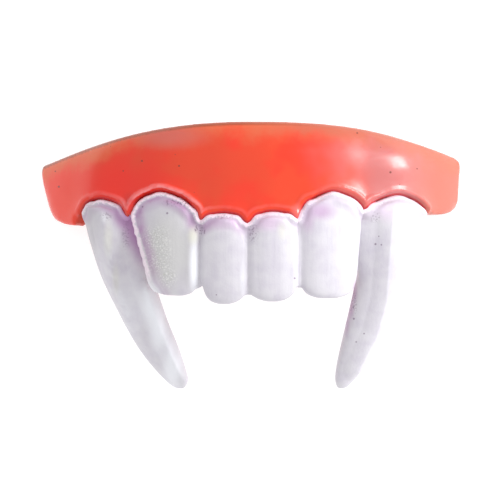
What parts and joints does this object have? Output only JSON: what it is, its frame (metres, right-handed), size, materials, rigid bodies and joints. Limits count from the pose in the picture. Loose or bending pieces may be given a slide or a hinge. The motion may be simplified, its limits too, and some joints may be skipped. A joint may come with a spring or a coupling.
{
  "type": "vampire fang denture",
  "caption": "Costume denture: a curved gum band shaped as a trough for the wearer's teeth, with incisors in front and a long, tapering fang at each side.",
  "frame": {"origin": "middle of the footprint, on the surface that the denture lies on, halfway between the fang tips and the top edge of the gum", "axes": "+X from the left end to the right end as the picture shows it, +Y from the fang tips to the top edge of the gum, +Z out of the side that shows when it is worn"},
  "size_m": [0.0649, 0.041, 0.0216],
  "materials": {
    "gum": "flexible vinyl with a soft gloss",
    "tooth": "pearl paint, glossy and a little rough in places"
  },
  "bodies": {
    "root": {"gum_band": "gum", "fang_left": "tooth", "incisor_outer_left": "tooth", "incisor_inner_left": "tooth", "incisor_inner_right": "tooth", "incisor_outer_right": "tooth", "fang_right": "tooth"}
  },
  "joints": []
}
